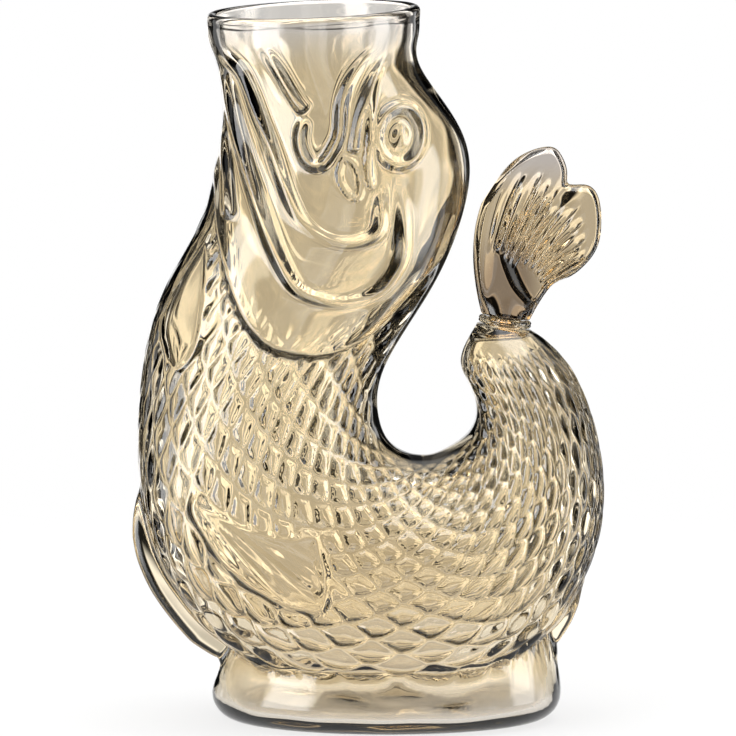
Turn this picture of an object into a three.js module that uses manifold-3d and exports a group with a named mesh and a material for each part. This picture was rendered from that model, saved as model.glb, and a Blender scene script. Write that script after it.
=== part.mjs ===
// Water carafe blown in the shape of a fish that stands on its belly. The mouth is the opening for
// filling and pouring, the body bends round a finger gap, and a solid tail fin is fused to the tail root.
// Millimetres. The origin is the centre of the foot's underside, +X points from the throat to the tail
// and +Z up to the mouth. The fish is the same on both sides of the plane y = 0.
import * as THREE from "three";
import { mergeVertices } from "three/addons/utils/BufferGeometryUtils.js";
import Module from "manifold-3d";

// Glass thicknesses, and the gap left between fused pieces
const WALL = 3;
const FLOOR = 5;
const FUSED_GAP = 0.3;

// Mouth: the rim is a circle that leans a little towards the throat, with a fire-polished bead
const RIM_X = -25.4;
const RIM_Z = 248;
const RIM_RADIUS = 36.6;
const RIM_LEAN = 2.3;
const BEAD_RADIUS = 2;

// Tail root: where the hollow body ends and the tail fin is fused on
const ROOT_X = 41;
const ROOT_Z = 138.6;
const ROOT_RADIUS = 9.5;
const ROOT_LEAN = 8;

// Foot: an oval slab, round below its widest height. Its shoulder slopes in above that height, as so much
// inset for each millimetre of rise, under the throat, under the tail and on the sides.
const FOOT_HALF_LENGTH = 61.5;
const FOOT_HALF_DEPTH = 42;
const FOOT_WIDEST_Z = 9.5;
const FOOT_TOP_Z = 40;
const FRONT_SLOPE = 0.56;
const REAR_SLOPE = 0.28;
const SIDE_SLOPE = 0.7;
const SHOULDER_ROUND = 2;

// The head and the tail are drawn for these heights of the rim and the tail root. What lies above the bend
// under the finger gap is stretched with them.
const DRAWN_RIM_Z = 248;
const DRAWN_ROOT_Z = 138.6;

// Half depth of the fish at its fullest, across the middle plane
const BODY_HALF_DEPTH = 43.5;

// Ribs of the body between the rim and the tail root: belly x, belly z, back x, back z, and how much less
// than the full half depth they have
const HEAD_RIBS = [
  [-61.9, 238.6, 11.2, 241, 7],
  [-58.2, 228, 11.6, 230, 7.1],
  [-57, 212, 23.2, 212.5, 6.1],
  [-59.6, 196, 29, 194, 4.3],
  [-68.8, 172.5, 24.8, 172.5, 2.5],
  [-79.6, 150, 14.4, 150, 1.5],
  [-85.3, 124, -0.4, 125, 0.7],
  [-87, 99, -2.8, 107.5, 0.2],
];
const BELLY_RIBS = [
  [-83.5, 69, 1, 98, 0],
  [-70, 42, 7, 93.9, 0],
  [-40, 18.5, 11.6, 93, 0.1],
  [4, 11, 15.5, 93.2, 0.9],
  [43, 20, 20.5, 95.2, 2.5],
];
const TAIL_RIBS = [
  [67.5, 47, 27, 99.6, 6.1],
  [75.8, 80, 31.1, 106.8, 12],
  [69.5, 113, 29.6, 116.8, 20.7],
  [58.5, 131, 25.8, 127, 27.5],
];

// Belly: how much fuller than an oval it is, and the shares of the way to the tail where that comes and goes
const BELLY_FULL = 1;
const BELLY_COMES = [0.4, 0.48];
const BELLY_GOES = [0.68, 0.76];

// Scales: four-sided, in staggered rows from under the gill cover to the tail root
const SCALES_AROUND = 20;
const SCALE_LENGTH = 15;
const SCALE_RELIEF = 0.9;
const SCALES_FROM = 62;
const SCALES_FADE = 34;

// Head: the gill cover stands proud of the body
const GILL_STEP = 2.2;
const GILL_LENGTH = 122;
const GILL_FADE = 45;
const HEAD_TO = 150;
const GILL_EDGE = [
  [-80, 191], [-62, 188], [-57, 165], [-51, 148], [-41, 137.5],
  [-25, 133.8], [-10, 137], [4, 148], [19, 161], [40, 172],
];

// Eyes: a ring round a low pupil
const EYE_X = 4.2;
const EYE_Z = 208.8;
const EYE_RADIUS = 9.4;
const EYE_RING = 1.9;
const PUPIL_RADIUS = 4.2;
const PUPIL_HEIGHT = 2;

// Folds of the head, as round ridges on both sides: the cheek's and the jaw's lower edges, and the lip, which
// runs from the rim down to the corner of the mouth and back up to the rim
const FOLD_RADIUS = 2;
const FOLD_RISE = 0.4;
const CHEEK_FOLD = [
  [-50, 206], [-44, 186], [-36, 165.5], [-28, 155], [-14.5, 152.4],
  [-2, 157], [4.5, 168], [5.8, 180], [5, 193],
];
const JAW_FOLD = [
  [-48.5, 228.5], [-43, 214.5], [-36, 195], [-28, 179],
  [-12, 172.6], [-3.8, 177], [-2.4, 186], [-2, 194],
];
const LIP_FOLD = [
  [-44, 238], [-35, 228], [-28, 216], [-29, 206], [-24, 199.5],
  [-18, 204], [-15.5, 216], [-10, 230], [-3, 239],
];

// Fins blown with the body: a pair on the sides, a pair under the throat, and two keels in the middle plane
const FIN_STEP = 1.5;
const SIDE_FIN = [
  [-66, 83], [-60, 67], [-46, 53], [-27, 44.5], [-20.5, 48], [-21, 60], [-24, 71.5], [-42, 73.5], [-56, 79],
];
const THROAT_FIN = [
  [-64, 172], [-71, 161], [-77, 148], [-78, 138], [-73, 128.5], [-66, 135], [-63, 152],
];
const KEEL_HALF_DEPTH = 4.5;
const KEEL_ROUND = 2.6;
const FRONT_KEEL = [
  [-80, 82], [-86.5, 72], [-87, 64], [-83, 53], [-76, 41], [-69, 32], [-58, 22], [-46, 30], [-66, 62],
];
const REAR_KEEL = [
  [60, 56], [65.6, 47], [65.6, 39], [62, 33.5], [54, 29], [44, 36], [52, 50],
];

// Collar: the ring of glass that seals the tail fin to the tail root, round a spigot of the fin
const COLLAR_RADIUS = 9.4;
const COLLAR_HEIGHT = 3.2;
const SPIGOT_RADIUS = 5.6;

// Tail fin: a fan of bent rays from the collar to a two-lobed edge, as distances along X and Z from the
// collar. Shares run along the rays from the collar and across them from the left border.
const TAIL_EDGE = [
  [-14, 41.5], [-10.8, 48.5], [-4.3, 58.5], [5.7, 64.2], [11.1, 62.2], [14.1, 56.5],
  [15.3, 52.4], [21.5, 52.9], [26.1, 49.3], [28.6, 38], [26.3, 27.4], [16.9, 18.5],
];
const TAIL_BEND_LEFT = [-17.5, 24.5];
const TAIL_BEND_RIGHT = [13.2, 17.1];
const STEM_HALF_WIDTH = 8.6;
const STEM_HALF_DEPTH = 6.5;
const LOBE_HALF_DEPTH = 6.2;
const LOBE_FULL = 0.3;
const LOBE_SQUARENESS = 8;
const TAIL_DIP = 2;
const TAIL_DIP_AT = 0.45;
const TAIL_DIP_WIDTH = 0.07;
const TAIL_RAYS = 11;
const RAY_RELIEF = 0.9;
const RAYS_COME = [0.3, 0.55];
const RAYS_GO = [0.85, 1];

// Facets of the smooth surfaces
const HEAD_AROUND = 40;
const HEAD_STEP = 10;
const INNER_AROUND = 24;
const INNER_STEP = 14;
const FOOT_AROUND = 40;
const FOOT_STEPS = 4;
const SMALL_AROUND = 6;
const EYE_AROUND = 18;
const PUPIL_AROUND = 10;
const FOLD_STEPS = 18;
const COLLAR_AROUND = 28;
const TAIL_STEPS = 11;
const EDGE_STEPS = 3;

const wasm = await Module();
wasm.setup();

const { degToRad, lerp, smoothstep } = THREE.MathUtils;

// A closed geometry as a solid that can be joined and cut
function solidOf(geometry) {
  const bare = new THREE.BufferGeometry().setAttribute("position", geometry.getAttribute("position"));
  if (geometry.index) bare.setIndex(geometry.index);
  const merged = mergeVertices(bare, 1e-4);
  return new wasm.Manifold(
    new wasm.Mesh({
      numProp: 3,
      vertProperties: merged.getAttribute("position").array,
      triVerts: new Uint32Array(merged.index.array),
    }),
  );
}

// A solid as a geometry for a mesh
function geometryOf(solid) {
  const made = solid.getMesh();
  const geometry = new THREE.BufferGeometry();
  geometry.setAttribute("position", new THREE.BufferAttribute(made.vertProperties, 3));
  geometry.setIndex(new THREE.BufferAttribute(made.triVerts, 1));
  geometry.computeVertexNormals();
  return geometry;
}

const join = (solids) => solids.reduce((whole, solid) => whole.add(solid));

// A closed skin over loops of equally many points, each the same on both sides of y = 0. The diagonals cross
// the quads in turn, so that the points of one colour of the chequerboard can stand out as the tops of
// four-sided scales. The end loops are closed by a strip from side to side.
function skin(loops) {
  const around = loops[0].length;
  const last = loops.length - 1;
  const points = loops.flat();
  const faces = [];
  for (let i = 0; i < last; i++) {
    for (let j = 0; j < around; j++) {
      const a = i * around + j;
      const b = i * around + ((j + 1) % around);
      const c = a + around;
      const d = b + around;
      if ((i + j) % 2 === 0) faces.push(a, b, c, b, d, c);
      else faces.push(a, b, d, a, d, c);
    }
  }
  for (const i of [0, last]) {
    for (let j = 0; j < around / 2; j++) {
      const a = i * around + j;
      const b = a + 1;
      const c = i * around + ((around - j) % around);
      const d = i * around + (around - j - 1);
      const strip = [];
      if (b !== d) strip.push([a, b, d]);
      if (a !== c) strip.push([a, d, c]);
      for (const face of strip) faces.push(...(i === 0 ? face.reverse() : face));
    }
  }
  const geometry = new THREE.BufferGeometry().setFromPoints(points).setIndex(faces);
  const solid = solidOf(geometry);
  if (solid.volume() > 0) return solid;
  for (let k = 0; k < faces.length; k += 3) [faces[k], faces[k + 1]] = [faces[k + 1], faces[k]];
  return solidOf(geometry.setIndex(faces));
}

// A rib at the rim or the tail root, round, with its belly end on one side and lifted by the lean
function roundRib(x, z, radius, lean, bellySide) {
  const dx = bellySide * radius * Math.cos(degToRad(lean));
  const dz = bellySide * radius * Math.sin(degToRad(lean));
  return [x + dx, z + dz, x - dx, z - dz, radius];
}

// A drawn height, stretched with the rim or with the tail root where it lies above the bend
const bendZ = Math.min(...BELLY_RIBS.map(([, , , backZ]) => backZ));
const stretch = (z, top, drawnTop) => z + (Math.max(0, z - bendZ) * (top - drawnTop)) / (drawnTop - bendZ);
const headZ = (z) => stretch(z, RIM_Z, DRAWN_RIM_Z);
const tailZ = (z) => stretch(z, ROOT_Z, DRAWN_ROOT_Z);
const headEnds = (ends) => ends.map(([x, z]) => [x, headZ(z)]);
const ribsAt = (rows, at) =>
  rows.map(([bellyX, bellyZ, backX, backZ, less]) => {
    return [bellyX, at(bellyZ), backX, at(backZ), BODY_HALF_DEPTH - less];
  });

const ribs = [
  roundRib(RIM_X, RIM_Z, RIM_RADIUS, RIM_LEAN, -1),
  ...ribsAt(HEAD_RIBS, headZ),
  ...ribsAt(BELLY_RIBS, (z) => z),
  ...ribsAt(TAIL_RIBS, tailZ),
  roundRib(ROOT_X, ROOT_Z, ROOT_RADIUS, -ROOT_LEAN, 1),
];

// Two rails through the ribs' ends, which carry the half depth as their y
const bellyEnds = ribs.map(([x, z, , , depth]) => new THREE.Vector3(x, depth, z));
const backEnds = ribs.map(([, , x, z, depth]) => new THREE.Vector3(x, depth, z));
const bellyRail = new THREE.CatmullRomCurve3(bellyEnds);
const backRail = new THREE.CatmullRomCurve3(backEnds);

// The rib at a share of the way along the rails
function ribAt(share) {
  const belly = bellyRail.getPoint(share);
  const back = backRail.getPoint(share);
  const half = new THREE.Vector3((belly.x - back.x) / 2, 0, (belly.z - back.z) / 2);
  const middle = new THREE.Vector3((belly.x + back.x) / 2, 0, (belly.z + back.z) / 2);
  return { middle, half, depth: belly.y };
}

// The body's middle line, for lengths from the mouth: share by share, and the length up to each
const LINE_STEPS = 600;
const lineShares = Array.from({ length: LINE_STEPS + 1 }, (_, i) => i / LINE_STEPS);
const linePoints = lineShares.map((share) => ribAt(share).middle);
const lineLengths = [0];
for (let i = 1; i <= LINE_STEPS; i++) {
  lineLengths.push(lineLengths[i - 1] + linePoints[i].distanceTo(linePoints[i - 1]));
}
const BODY_LENGTH = lineLengths[LINE_STEPS];

function shareAt(length) {
  const i = Math.min(LINE_STEPS, Math.max(1, lineLengths.findIndex((l) => l >= length)));
  const part = (length - lineLengths[i - 1]) / (lineLengths[i] - lineLengths[i - 1]);
  return lerp(lineShares[i - 1], lineShares[i], part);
}

// Equal steps between two lengths, no longer than the step given
function lengths(from, to, step) {
  const count = Math.ceil((to - from) / step);
  return Array.from({ length: count + 1 }, (_, i) => lerp(from, to, i / count));
}

// The power of the curve that a rib's belly half follows: an oval's is 2
const OVAL = 2;
const bellyPower = (share) =>
  OVAL + BELLY_FULL * smoothstep(share, ...BELLY_COMES) * (1 - smoothstep(share, ...BELLY_GOES));

// One loop round the body, moved out by swell, which may differ from point to point
function bodyLoop(length, around, swell) {
  const share = shareAt(length);
  const { middle, half, depth } = ribAt(share);
  const width = half.length();
  const across = half.clone().divideScalar(width);
  return Array.from({ length: around }, (_, j) => {
    const angle = (2 * Math.PI * j) / around;
    const cos = Math.cos(angle);
    const sin = Math.sin(angle);
    const power = cos > 0 ? bellyPower(share) : OVAL;
    const bulge = (Math.abs(cos) ** power + Math.abs(sin) ** power) ** (-1 / power);
    const steep = power - 1;
    const out = new THREE.Vector2(
      (Math.sign(cos) * Math.abs(cos) ** steep) / width,
      (Math.sign(sin) * Math.abs(sin) ** steep) / depth,
    ).normalize();
    const p = middle.clone().addScaledVector(across, width * bulge * cos + swell(j) * out.x);
    p.y = depth * bulge * sin + swell(j) * out.y;
    return p;
  });
}

// The loft of the body between two lengths, moved out evenly
function loft(from, to, step, around, swell) {
  return skin(lengths(from, to, step).map((length) => bodyLoop(length, around, () => swell)));
}

// How far the body lies below its outline where it comes out from under the gill cover
const sink = (length) => GILL_STEP * (1 - smoothstep(length, GILL_LENGTH, GILL_LENGTH + GILL_FADE));

// The scaled body, whose relief fades out at the tail root
function scaledBody() {
  const rows = lengths(SCALES_FROM, BODY_LENGTH, SCALE_LENGTH / 2);
  const fade = (length) => SCALE_RELIEF * smoothstep(BODY_LENGTH - length, 0, SCALES_FADE);
  const swell = (length, raised) => (raised ? fade(length) : 0) - sink(length);
  const loops = rows.map((length, i) => {
    return bodyLoop(length, 2 * SCALES_AROUND, (j) => swell(length, (i + j) % 2 === 0));
  });
  return skin(loops);
}

// Points of a smooth line in the middle plane, open or closed, as x and z
function smoothLine(ends, closed) {
  const line = new THREE.CatmullRomCurve3(ends.map(([x, z]) => new THREE.Vector3(x, z, 0)), closed);
  const points = line.getPoints(ends.length * EDGE_STEPS).map((p) => new THREE.Vector2(p.x, p.y));
  return closed ? points.slice(0, -1) : points;
}

// A slab through the fish with a given outline in the middle plane, and with rounded edges
function slabOf(outline, halfDepth, round) {
  const depth = 2 * (halfDepth - round);
  const bevel = { bevelThickness: round, bevelSize: round, bevelSegments: 2, bevelEnabled: round > 0 };
  const geometry = new THREE.ExtrudeGeometry(new THREE.Shape(outline), { depth, ...bevel });
  return solidOf(geometry.translate(0, 0, -depth / 2).rotateX(Math.PI / 2));
}

const slab = (ends, halfDepth, round = 0) => slabOf(smoothLine(ends, true), halfDepth, round);

// A slab with an open line as its lower edge, for all that lies above it
function above(ends, halfDepth) {
  const top = RIM_Z + 2 * RIM_RADIUS;
  const edge = smoothLine(ends, false);
  const corners = [new THREE.Vector2(edge.at(-1).x, top), new THREE.Vector2(edge[0].x, top)];
  return slabOf([...edge, ...corners], halfDepth, 0);
}

const THROUGH = 2 * Math.max(...ribs.map(([, , , , depth]) => depth));
const headLoft = loft(0, HEAD_TO, HEAD_STEP, HEAD_AROUND, 0);
const finLoft = loft(SCALES_FROM, BODY_LENGTH, SCALE_LENGTH / 2, 2 * SCALES_AROUND, FIN_STEP);
const finPlate = (ends) => finLoft.intersect(slab(ends, THROUGH));

// Where a line along y at (x, z) leaves the head on one side
function sideSpot(x, z, side) {
  const spot = new THREE.Vector3(x, 0, z);
  const along = (share) => {
    const rib = ribAt(share);
    const from = spot.clone().sub(rib.middle);
    return { ...rib, from, off: Math.abs(from.clone().cross(rib.half).y) / rib.half.length() };
  };
  const near = lineShares.map(along).reduce((best, rib) => {
    return rib.off < best.off && rib.from.length() < rib.half.length() ? rib : best;
  }, { off: Infinity });
  const across = near.from.dot(near.half) / near.half.lengthSq();
  return spot.setY(side * near.depth * Math.sqrt(1 - across * across));
}

// That spot, and the way out of the glass there, from two spots beside it
function onSide(x, z, side) {
  const beside = FOLD_RADIUS;
  const spot = sideSpot(x, z, side);
  const alongX = sideSpot(x + beside, z, side).sub(spot);
  const alongZ = sideSpot(x, z + beside, side).sub(spot);
  return { spot, out: alongZ.cross(alongX).normalize().multiplyScalar(side) };
}

// A ring and a low pupil on the side of the head
function eye(side) {
  const { spot, out } = onSide(EYE_X, headZ(EYE_Z), side);
  const ring = new THREE.TorusGeometry(EYE_RADIUS - EYE_RING, EYE_RING, SMALL_AROUND, EYE_AROUND);
  const pupil = new THREE.SphereGeometry(1, PUPIL_AROUND, SMALL_AROUND);
  pupil.scale(PUPIL_RADIUS, PUPIL_RADIUS, PUPIL_HEIGHT);
  const turn = new THREE.Quaternion().setFromUnitVectors(new THREE.Vector3(0, 0, 1), out);
  return join([ring, pupil].map((g) => solidOf(g.applyQuaternion(turn).translate(...spot))));
}

// A round ridge along a line on both sides of the head
function fold(ends) {
  const round = new THREE.Shape().absarc(0, 0, FOLD_RADIUS, 0, 2 * Math.PI);
  const ridge = (side) => {
    const spots = headEnds(ends).map(([x, z]) => {
      const { spot, out } = onSide(x, z, side);
      return spot.addScaledVector(out, FOLD_RISE);
    });
    const line = new THREE.CatmullRomCurve3(spots);
    const options = { steps: FOLD_STEPS, curveSegments: SMALL_AROUND / 2, extrudePath: line };
    return solidOf(new THREE.ExtrudeGeometry(round, options));
  };
  return ridge(1).add(ridge(-1));
}

// The foot, solid, moved in by inset and standing on the height given
function foot(inset, bottom) {
  const edge = FOOT_WIDEST_Z - bottom;
  const steps = Array.from({ length: FOOT_STEPS + 1 }, (_, k) => k / FOOT_STEPS);
  const lower = steps.map((step) => {
    const turn = (step * Math.PI) / 2;
    const cut = edge * (1 - Math.sin(turn));
    return { z: bottom + edge * (1 - Math.cos(turn)), cut: () => cut };
  });
  const upper = steps.slice(1).map((step) => {
    const rise = (FOOT_TOP_Z - FOOT_WIDEST_Z) * step * step;
    const cut = (slope) => Math.hypot(slope * rise, SHOULDER_ROUND) - SHOULDER_ROUND;
    return { z: FOOT_WIDEST_Z + rise, cut };
  });
  const loops = [...lower, ...upper].map(({ z, cut }) => {
    return Array.from({ length: FOOT_AROUND }, (_, j) => {
      const angle = (2 * Math.PI * j) / FOOT_AROUND;
      const endSlope = lerp(FRONT_SLOPE, REAR_SLOPE, (1 + Math.cos(angle)) / 2);
      const x = (FOOT_HALF_LENGTH - inset - cut(endSlope)) * Math.cos(angle);
      const y = (FOOT_HALF_DEPTH - inset - cut(SIDE_SLOPE)) * Math.sin(angle);
      return new THREE.Vector3(x, y, z);
    });
  });
  return skin(loops);
}

// The hollow: the body and the foot moved in by the wall, open through the mouth
function hollow() {
  const rows = lengths(0, BODY_LENGTH - WALL, INNER_STEP);
  const thickness = (length) => WALL + sink(length) * smoothstep(length, 0, SCALES_FROM);
  const loops = rows.map((length) => bodyLoop(length, INNER_AROUND, () => -thickness(length)));
  const up = new THREE.Vector3(-Math.sin(degToRad(RIM_LEAN)), 0, Math.cos(degToRad(RIM_LEAN)));
  const pastBead = 4 * BEAD_RADIUS;
  loops.unshift(loops[0].map((p) => p.clone().addScaledVector(up, pastBead)));
  return skin(loops).add(foot(WALL, FLOOR));
}

// The bead round the rim
function bead() {
  const ring = new THREE.TorusGeometry(RIM_RADIUS - WALL / 2, BEAD_RADIUS, SMALL_AROUND, HEAD_AROUND);
  return solidOf(ring.rotateY(degToRad(-RIM_LEAN)).translate(RIM_X, 0, RIM_Z));
}

// The blown body
function glassBody() {
  const outside = join([
    scaledBody(),
    headLoft.intersect(above(headEnds(GILL_EDGE), THROUGH)),
    fold(CHEEK_FOLD),
    fold(JAW_FOLD),
    fold(LIP_FOLD),
    finPlate(SIDE_FIN),
    finPlate(headEnds(THROAT_FIN)),
    slab(FRONT_KEEL, KEEL_HALF_DEPTH, KEEL_ROUND),
    slab(REAR_KEEL, KEEL_HALF_DEPTH, KEEL_ROUND),
    foot(0, 0),
    eye(1),
    eye(-1),
    bead(),
  ]);
  return outside.subtract(hollow());
}

// A lathe profile as a ring or disc on the z axis
function lathe(profile) {
  const points = profile.map(([r, z]) => new THREE.Vector2(r, z));
  return solidOf(new THREE.LatheGeometry(points, COLLAR_AROUND).rotateX(Math.PI / 2));
}

// The collar, a ring with a rounded outside
function collar() {
  const inside = SPIGOT_RADIUS + FUSED_GAP;
  const half = COLLAR_HEIGHT / 2;
  const round = [-2, -1, 0, 1, 2].map((k) => (k * Math.PI) / 6);
  const outside = round.map((turn) => {
    return [COLLAR_RADIUS - half + half * Math.cos(turn), half + half * Math.sin(turn)];
  });
  return lathe([[inside, 0], ...outside, [inside, COLLAR_HEIGHT], [inside, 0]]);
}

// The tail fin, lofted along its rays: each loop crosses the front face and comes back on the far one
function tailFin() {
  const stemZ = COLLAR_HEIGHT + FUSED_GAP;
  const columns = 4 * TAIL_RAYS;
  const edge = new THREE.CatmullRomCurve3(TAIL_EDGE.map(([x, z]) => new THREE.Vector3(x, 0, z)));
  const stemLeft = new THREE.Vector3(-STEM_HALF_WIDTH, 0, stemZ);
  const stemRight = new THREE.Vector3(STEM_HALF_WIDTH, 0, stemZ);
  const bendLeft = new THREE.Vector3(TAIL_BEND_LEFT[0], 0, TAIL_BEND_LEFT[1]);
  const bendRight = new THREE.Vector3(TAIL_BEND_RIGHT[0], 0, TAIL_BEND_RIGHT[1]);
  const rays = Array.from({ length: columns + 1 }, (_, k) => {
    const side = -Math.cos((Math.PI * k) / columns);
    const across = (1 + side) / 2;
    const stem = stemLeft.clone().lerp(stemRight, across);
    const bend = bendLeft.clone().lerp(bendRight, across);
    const line = new THREE.QuadraticBezierCurve3(stem, bend, edge.getPoint(across));
    return { side: Math.abs(side), across, line, wave: Math.cos((Math.PI * k) / 2) };
  });
  const rounded = (share, power) => Math.sqrt(1 - share ** power);
  const halfDepth = (along, { side, across, wave }) => {
    const grown = smoothstep(along, 0, LOBE_FULL);
    const ribbed = smoothstep(along, ...RAYS_COME) * (1 - smoothstep(along, ...RAYS_GO));
    const dip = TAIL_DIP * Math.exp(-(((across - TAIL_DIP_AT) / TAIL_DIP_WIDTH) ** 2)) * ribbed;
    const thick = lerp(STEM_HALF_DEPTH, LOBE_HALF_DEPTH, grown) + RAY_RELIEF * wave * ribbed - dip;
    return thick * rounded(side, lerp(OVAL, LOBE_SQUARENESS, grown)) * rounded(along, LOBE_SQUARENESS);
  };
  const loops = Array.from({ length: TAIL_STEPS }, (_, i) => {
    const along = Math.sin((i * Math.PI) / (2 * TAIL_STEPS));
    const front = rays.map((ray) => ray.line.getPoint(along).setY(-halfDepth(along, ray)));
    const back = rays.slice(1, -1).map((ray) => ray.line.getPoint(along).setY(halfDepth(along, ray)));
    return [...front, ...back.reverse()];
  });
  const inStem = stemZ + SPIGOT_RADIUS / 2;
  const spigot = lathe([[0, FUSED_GAP], [SPIGOT_RADIUS, FUSED_GAP], [SPIGOT_RADIUS, inStem], [0, inStem]]);
  return skin(loops).add(spigot);
}

const glass = new THREE.MeshStandardMaterial({ color: 0xcbb98c, roughness: 0.03, metalness: 0 });
const thickGlass = new THREE.MeshStandardMaterial({ color: 0xa8935f, roughness: 0.03, metalness: 0 });

function piece(name, solid, material) {
  const mesh = new THREE.Mesh(geometryOf(solid), material);
  mesh.name = name;
  return mesh;
}

// The tail fin and its collar stand on the tail root, square to it
const rootUp = new THREE.Vector3(Math.sin(degToRad(ROOT_LEAN)), 0, Math.cos(degToRad(ROOT_LEAN)));
const tail = new THREE.Group();
tail.position.set(ROOT_X, 0, ROOT_Z).addScaledVector(rootUp, FUSED_GAP);
tail.rotation.y = degToRad(ROOT_LEAN);
tail.add(piece("tail_collar", collar(), thickGlass), piece("tail_fin", tailFin(), thickGlass));

const carafe = new THREE.Group();
carafe.add(piece("glass_body", glassBody(), glass), tail);

export default carafe;
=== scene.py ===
"""The water carafe: a fish blown in smoky amber glass, with a solid tail fin fused on.

The blown body is one closed wall of glass, made as a grid of rays that leave the fish's middle line. Its
relief (scales, gill cover, cheeks, lips, eyes and fins) is worked out point by point along the normals.
Shapes are in millimetres, and turn into metres when a mesh is made. Materials, floor and camera are in
metres. A share runs from 0 at the mouth to 1 at the tail root, and a rib's angle starts at the belly.
"""
import itertools
import math

import bmesh
import bpy
import numpy as np
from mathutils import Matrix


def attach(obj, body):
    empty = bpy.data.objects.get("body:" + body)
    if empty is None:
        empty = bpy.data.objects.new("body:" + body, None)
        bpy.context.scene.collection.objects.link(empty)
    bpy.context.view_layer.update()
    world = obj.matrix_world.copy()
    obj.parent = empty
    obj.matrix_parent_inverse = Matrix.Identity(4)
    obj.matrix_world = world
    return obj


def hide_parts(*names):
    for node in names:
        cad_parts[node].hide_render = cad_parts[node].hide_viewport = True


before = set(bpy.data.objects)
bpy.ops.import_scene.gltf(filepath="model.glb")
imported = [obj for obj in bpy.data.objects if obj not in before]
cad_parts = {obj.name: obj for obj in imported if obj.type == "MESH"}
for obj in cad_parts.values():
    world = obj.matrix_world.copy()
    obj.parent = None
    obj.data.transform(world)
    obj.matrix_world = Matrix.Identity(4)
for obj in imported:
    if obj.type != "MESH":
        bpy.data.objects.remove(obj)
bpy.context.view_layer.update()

MM = 0.001

# Points of a mesh that lie this close are one point
WELD = 0.0001

# Wall and floor of the blown glass
WALL = 3.0
FLOOR = 5.0

# Mouth and tail root, with their leans in degrees
RIM_X = -25.4
RIM_Z = 248.0
RIM_RADIUS = 36.6
RIM_LEAN = 2.3
RIM_BEAD_HEIGHT = 0.5
RIM_BEAD_WIDTH = 2.2
ROOT_X = 41.0
ROOT_Z = 138.6
ROOT_RADIUS = 9.5
ROOT_LEAN = 8.0
FUSED_GAP = 0.3

# Foot: an oval slab, rounded below its widest height, with a sloping shoulder above it
FOOT_HALF_LENGTH = 61.5
FOOT_HALF_DEPTH = 42.0
FOOT_WIDEST_Z = 9.5
FOOT_TOP_Z = 40.0
FRONT_SLOPE = 0.56
REAR_SLOPE = 0.28
SIDE_SLOPE = 0.7
SHOULDER_ROUND = 2.0
OUTER_CREASE = 4.0
INNER_CREASE = 6.0
FOOT_SOFTEN = 3

# The foot's outside is looked for at these ray lengths, and then by halving
REACH_TRIES = np.linspace(0.5, 1.9, 57)
REACH_HALVINGS = 18

# Ribs of the body between the rim and the tail root: belly x, belly z, back x, back z, half depth
RIBS = [
    (-61.9, 238.6, 11.2, 241, 36.5),
    (-58.2, 228, 11.6, 230, 36.4),
    (-57, 212, 23.2, 212.5, 37.4),
    (-59.6, 196, 29, 194, 39.2),
    (-68.8, 172.5, 24.8, 172.5, 41),
    (-79.6, 150, 14.4, 150, 42),
    (-85.3, 124, -0.4, 125, 42.8),
    (-87, 99, -2.8, 107.5, 43.3),
    (-83.5, 69, 1, 98, 43.5),
    (-70, 42, 7, 93.9, 43.5),
    (-40, 18.5, 11.6, 93, 43.4),
    (4, 11, 15.5, 93.2, 42.6),
    (43, 20, 20.5, 95.2, 41),
    (67.5, 47, 27, 99.6, 37.4),
    (75.8, 80, 31.1, 106.8, 31.5),
    (69.5, 113, 29.6, 116.8, 22.8),
    (58.5, 131, 25.8, 127, 16),
]

# How much fuller than an oval the belly is, and the shares over which that comes and goes
OVAL_POWER = 2
BELLY_FULL = 1.0
FULL_COMES = (0.40, 0.48)
FULL_GOES = (0.68, 0.76)

# Fineness of the wall's two faces; columns crowd towards the belly
OUTER_ROWS = 680
INNER_ROWS = 340
COLUMNS = 360
COLUMN_CROWD = 0.5
LIP_ROWS = 8
FINE_STEPS = 4001

# Inside of the wall: from below the lip on it follows part of the outside's softened relief. It stops short
# of the tail root, where it closes in a dome with a blunt tip.
INNER_FOLLOWS = 0.45
INNER_SOFTEN = 24
INNER_LIP = 0.03
INNER_STOPS = 2
INNER_DOME = 0.02
INNER_TIP = 0.08

# Waves of the wall's inside: height, its shares on body and foot, lengths, and how the crests sway
WAVE_HEIGHT = 0.9
WAVE_ON_BODY = 0.2
WAVE_MORE_ON_FOOT = 0.15
WAVE_X = 6.1
WAVE_Y = 8.7
WAVE_Z = 5.3
SWAY_BY_Z = 1.4
SWAY_LENGTH_Z = 9.0
SWAY_BY_X = 0.9
SWAY_LENGTH_X = 11.0

# Scales: the share where their rows start, and the lengths before the tail root over which they run out
SCALE_ROWS = 38
SCALES_AROUND = 30
SCALES_START = 0.2
SCALES_END = (7, 18)
ROW_STRAIGHT = 0.45

# A scale's reach in rows to the tail and to the head, and how distances from its middle are stretched
SCALE_TO_TAIL = 0.85
SCALE_TO_HEAD = 1.4
STRETCH_ALONG = 1.4
STRETCH_ACROSS = 1.25
STRETCH_UNEVEN = (0.93, 1.07)
STRETCH_SEED = 5

# Plates with grooves between them on the chest, and pebbles on the belly and the tail, by shares of the rows
PLATE_HEIGHT = 0.95
GROOVE_WIDTH = 0.65
PEBBLE_HEIGHT = 1.35
PEBBLE_POWER = 2.5
PEBBLE_REACH = 1.1
BELLY_PEBBLES = (0.3, 0.42)
TAIL_PEBBLES = (0.6, 0.75)

# Cosines of a rib's angle where the pebbles spread from the belly, and where the scales grow calm at the
# belly, at the throat and, with the sign changed, at the back. The throat ends at shares of the rows.
BELLY_SIDE = (0.2, 0.7)
BACK_LINE = (0.86, 0.97)
BELLY_LINE = (0.80, 0.96)
THROAT_LINE = (0.80, 0.92)
THROAT_ROWS = (0.4, 0.55)
LINE_CALM = 0.6

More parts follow.
